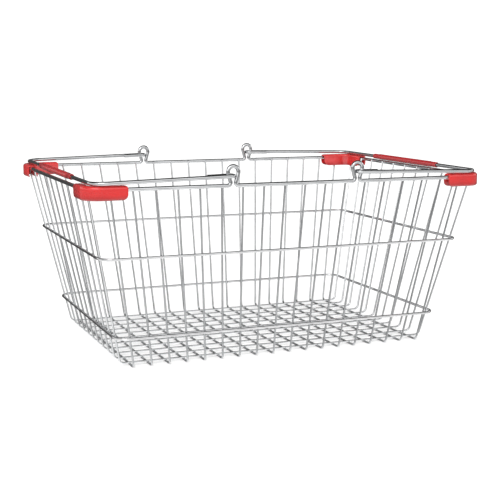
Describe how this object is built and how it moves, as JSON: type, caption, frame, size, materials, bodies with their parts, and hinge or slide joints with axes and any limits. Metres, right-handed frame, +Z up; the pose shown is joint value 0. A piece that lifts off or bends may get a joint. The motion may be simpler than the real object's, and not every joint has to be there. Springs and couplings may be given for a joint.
{
  "type": "wire shopping basket",
  "caption": "Tapered chrome wire hand basket with folding bail handles, plastic grips and plastic corner caps, for carrying shopping.",
  "frame": {"origin": "middle of the base, on the surface the basket stands on", "axes": "+X along the basket's length, towards the right handle's fold, +Y from the front long side to the back one, +Z up"},
  "size_m": [0.438, 0.3178, 0.2051],
  "materials": {
    "wall_wire": "bright nickel-chrome plate on drawn steel wire",
    "rim_wire": "bright nickel-chrome plate on drawn steel wire",
    "hoop_wire": "bright nickel-chrome plate on drawn steel wire",
    "handle_wire": "bright nickel-chrome plate on drawn steel wire",
    "cap_plastic": "glossy moulded red plastic",
    "grip_plastic": "satin-gloss moulded red plastic with finger ribs"
  },
  "bodies": {
    "basket": {"cross_wire_01": "wall_wire", "cross_wire_02": "wall_wire", "cross_wire_03": "wall_wire", "cross_wire_04": "wall_wire", "cross_wire_05": "wall_wire", "cross_wire_06": "wall_wire", "cross_wire_07": "wall_wire", "cross_wire_08": "wall_wire", "cross_wire_09": "wall_wire", "cross_wire_10": "wall_wire", "cross_wire_11": "wall_wire", "cross_wire_12": "wall_wire", "cross_wire_13": "wall_wire", "cross_wire_14": "wall_wire", "cross_wire_15": "wall_wire", "cross_wire_16": "wall_wire", "cross_wire_17": "wall_wire", "cross_wire_18": "wall_wire", "long_wire_01": "wall_wire", "long_wire_02": "wall_wire", "long_wire_03": "wall_wire", "long_wire_04": "wall_wire", "long_wire_05": "wall_wire", "long_wire_06": "wall_wire", "long_wire_07": "wall_wire", "long_wire_08": "wall_wire", "long_wire_09": "wall_wire", "long_wire_10": "wall_wire", "long_wire_11": "wall_wire", "rim_frame": "rim_wire", "upper_hoop": "hoop_wire", "lower_hoop": "hoop_wire", "corner_cap_front_left": "cap_plastic", "corner_cap_front_right": "cap_plastic", "corner_cap_back_left": "cap_plastic", "corner_cap_back_right": "cap_plastic"},
    "left_bail": {"left_handle": "handle_wire", "left_grip": "grip_plastic"},
    "right_bail": {"right_handle": "handle_wire", "right_grip": "grip_plastic"}
  },
  "joints": [
    {"name": "left_handle_hinge", "type": "hinge", "parent": "basket", "child": "left_bail", "pos_m": [-0.0684, 0, 0.1937], "axis": [0, 1, 0], "range_deg": [0, 118]},
    {"name": "right_handle_hinge", "type": "hinge", "parent": "basket", "child": "right_bail", "pos_m": [0.0684, 0, 0.1937], "axis": [0, -1, 0], "range_deg": [0, 118]}
  ]
}
